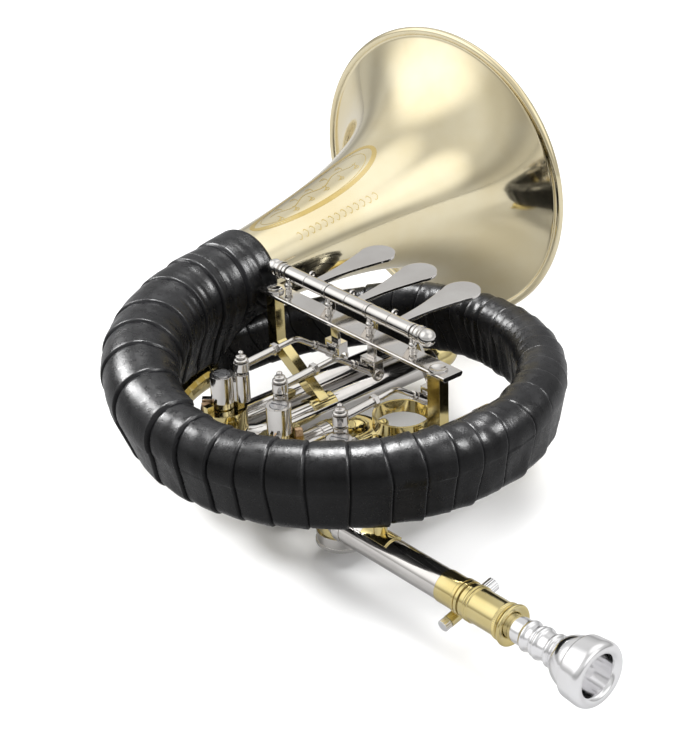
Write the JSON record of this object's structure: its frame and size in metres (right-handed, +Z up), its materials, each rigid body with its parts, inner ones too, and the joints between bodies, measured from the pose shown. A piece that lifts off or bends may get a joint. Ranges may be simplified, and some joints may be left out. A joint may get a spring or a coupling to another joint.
{
  "type": "valved hunting horn",
  "caption": "Leather-wrapped coiled brass horn with flared bell, rotary valves, finger levers, pull-out slides and clamped mouthpiece shank.",
  "frame": {"origin": "middle of the bounding box's bottom face, which is the lowest point of the bell rim", "axes": "+X along the leadpipe, from the valves to the mouthpiece; +Y along the levers, from the valve row towards the bell mouth; +Z up out of the coil, towards the levers"},
  "size_m": [0.379, 0.2734, 0.1562],
  "materials": {
    "bell_brass": "lacquered mirror polish",
    "brass": "lacquered mirror polish",
    "nickel_silver": "polished nickel silver",
    "silver_plate": "polished silver plate",
    "steel": "bright turned steel",
    "cork": "matt cork",
    "leather_wrap": "black smooth strap leather, satin"
  },
  "bodies": {
    "horn": {"bell": "bell_brass", "bell_rim_wire": "steel", "bell_ferrule": "brass", "coil_tube": "brass", "bell_leather": "leather_wrap", "coil_leather": "leather_wrap", "outlet_tube": "brass", "valve_casing_1": "brass", "valve_casing_2": "brass", "valve_casing_3": "brass", "valve_bearing_1": "brass", "valve_bearing_2": "brass", "valve_bearing_3": "brass", "bottom_cap_1": "nickel_silver", "bottom_cap_2": "nickel_silver", "bottom_cap_3": "nickel_silver", "valve_link_12": "brass", "valve_link_23": "brass", "stop_corks": "cork", "leadpipe": "nickel_silver", "leadpipe_ferrule": "nickel_silver", "leadpipe_brace": "brass", "slide_sleeve_1": "nickel_silver", "slide_sleeve_2": "nickel_silver", "slide_sleeve_3": "nickel_silver", "bridge_plate": "nickel_silver", "plate_screws": "nickel_silver", "left_post": "brass", "right_post": "brass", "finger_ring": "brass", "hinge_posts": "nickel_silver", "lever_axle": "steel", "axle_finials": "nickel_silver", "spring_barrels": "nickel_silver", "lever_springs": "steel", "clamp_sleeve": "brass"},
    "rotor_1": {"rotor_1": "brass", "crank_1": "nickel_silver", "crank_screws_1": "steel"},
    "rod_1": {"rod_1": "nickel_silver"},
    "lever_1": {"lever_1": "nickel_silver"},
    "valve_slide_1": {"valve_slide_1": "brass"},
    "rotor_2": {"rotor_2": "brass", "crank_2": "nickel_silver", "crank_screws_2": "steel"},
    "rod_2": {"rod_2": "nickel_silver"},
    "lever_2": {"lever_2": "nickel_silver"},
    "valve_slide_2": {"valve_slide_2": "brass"},
    "rotor_3": {"rotor_3": "brass", "crank_3": "nickel_silver", "crank_screws_3": "steel"},
    "rod_3": {"rod_3": "nickel_silver"},
    "lever_3": {"lever_3": "nickel_silver"},
    "valve_slide_3": {"valve_slide_3": "brass"},
    "tuning_shank": {"tuning_shank": "brass"},
    "mouthpiece": {"mouthpiece": "silver_plate"},
    "clamp_screw": {"clamp_screw": "silver_plate"}
  },
  "joints": [
    {"name": "lever_1_press", "type": "hinge", "parent": "horn", "child": "lever_1", "pos_m": [-0.04012, -0.0182, 0.08487], "axis": [-1, 0, 0], "range_deg": [0, 19.5], "stiffness_Nm_per_rad": 0.12, "springref_deg": -17.19},
    {"name": "rotor_1_turn", "type": "hinge", "parent": "horn", "child": "rotor_1", "pos_m": [-0.04652, -0.0697, 0.02487], "axis": [0, 0, -1], "range_deg": [0, 90]},
    {"name": "rod_1_swing", "type": "hinge", "parent": "rotor_1", "child": "rod_1", "pos_m": [-0.04016, -0.06334, 0.06107], "axis": [0, 0, 1], "range_deg": [0, 90]},
    {"name": "lever_2_press", "type": "hinge", "parent": "horn", "child": "lever_2", "pos_m": [-0.01222, -0.0182, 0.08487], "axis": [-1, 0, 0], "range_deg": [0, 19.5], "stiffness_Nm_per_rad": 0.12, "springref_deg": -17.19},
    {"name": "rotor_2_turn", "type": "hinge", "parent": "horn", "child": "rotor_2", "pos_m": [-0.00652, -0.0697, 0.02487], "axis": [0, 0, 1], "range_deg": [0, 90]},
    {"name": "rod_2_swing", "type": "hinge", "parent": "rotor_2", "child": "rod_2", "pos_m": [-0.01288, -0.06334, 0.06107], "axis": [0, 0, -1], "range_deg": [0, 90]},
    {"name": "lever_3_press", "type": "hinge", "parent": "horn", "child": "lever_3", "pos_m": [0.01568, -0.0182, 0.08487], "axis": [-1, 0, 0], "range_deg": [0, 19.5], "stiffness_Nm_per_rad": 0.12, "springref_deg": -17.19},
    {"name": "rotor_3_turn", "type": "hinge", "parent": "horn", "child": "rotor_3", "pos_m": [0.03348, -0.0697, 0.02487], "axis": [0, 0, 1], "range_deg": [0, 90]},
    {"name": "rod_3_swing", "type": "hinge", "parent": "rotor_3", "child": "rod_3", "pos_m": [0.02712, -0.06334, 0.06107], "axis": [0, 0, -1], "range_deg": [0, 90]},
    {"name": "valve_slide_1_pull", "type": "slide", "parent": "horn", "child": "valve_slide_1", "axis": [0, 1, 0], "range_m": [0, 0.055]},
    {"name": "valve_slide_2_pull", "type": "slide", "parent": "horn", "child": "valve_slide_2", "axis": [0, 1, 0], "range_m": [0, 0.01]},
    {"name": "valve_slide_3_pull", "type": "slide", "parent": "horn", "child": "valve_slide_3", "axis": [0, 1, 0], "range_m": [0, 0.045]},
    {"name": "tuning_shank_pull", "type": "slide", "parent": "horn", "child": "tuning_shank", "axis": [1, 0, 0], "range_m": [0, 0.015]},
    {"name": "mouthpiece_pull", "type": "slide", "parent": "tuning_shank", "child": "mouthpiece", "axis": [1, 0, 0], "range_m": [0, 0.02]},
    {"name": "clamp_screw_turn", "type": "hinge", "parent": "horn", "child": "clamp_screw", "pos_m": [0.11448, -0.07579, 0.01589], "axis": [0, 0.9703, 0.2419], "range_deg": [-90, 270]}
  ],
  "couplings": [
    {"joint": "rotor_1_turn", "follows": "lever_1_press", "ratio": 4.6154},
    {"joint": "rod_1_swing", "follows": "lever_1_press", "ratio": 4.6154},
    {"joint": "rotor_2_turn", "follows": "lever_2_press", "ratio": 4.6154},
    {"joint": "rod_2_swing", "follows": "lever_2_press", "ratio": 4.6154},
    {"joint": "rotor_3_turn", "follows": "lever_3_press", "ratio": 4.6154},
    {"joint": "rod_3_swing", "follows": "lever_3_press", "ratio": 4.6154}
  ]
}
